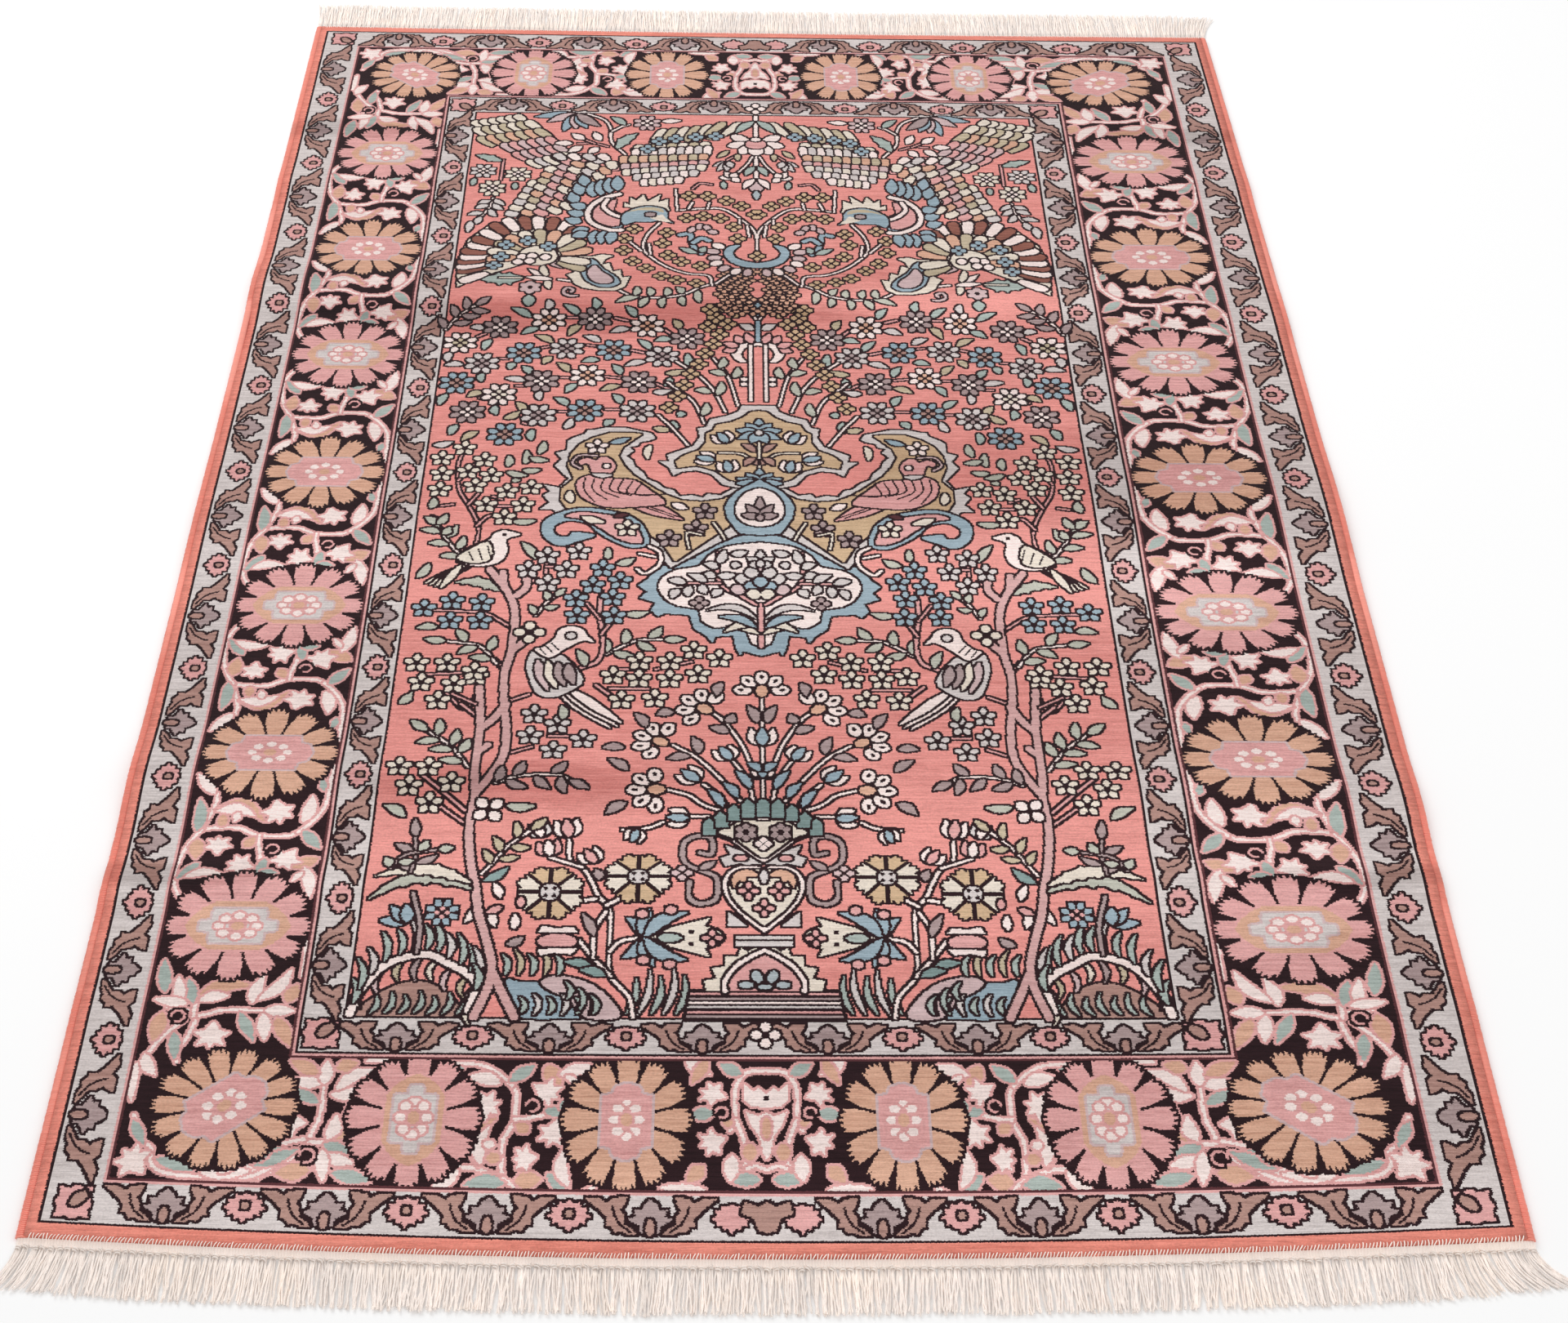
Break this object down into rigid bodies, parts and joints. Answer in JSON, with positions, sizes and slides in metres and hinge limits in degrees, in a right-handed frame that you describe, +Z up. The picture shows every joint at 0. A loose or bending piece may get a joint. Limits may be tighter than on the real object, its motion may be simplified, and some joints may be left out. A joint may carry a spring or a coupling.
{
  "type": "knotted rug",
  "caption": "Flat hand-knotted rug with a pictorial vase and tree field, rosette border, overcast sides and knotted fringe at both ends, lying with soft cross folds.",
  "frame": {"origin": "middle of the rug's footprint, fringe included, on the floor", "axes": "+X across the rug, +Y along it from the near end to the far end, +Z up out of the pile"},
  "size_m": [0.9814, 1.6414, 0.0108],
  "materials": {
    "pile": "sheared silk pile, soft sheen",
    "overcast_cord": "silk overcast over warp cords",
    "fringe_yarn": "matte twisted cotton"
  },
  "bodies": {
    "root": {"pile_sheet": "pile", "selvedge_left": "overcast_cord", "selvedge_right": "overcast_cord", "fringe_near": "fringe_yarn", "fringe_far": "fringe_yarn"}
  },
  "joints": []
}
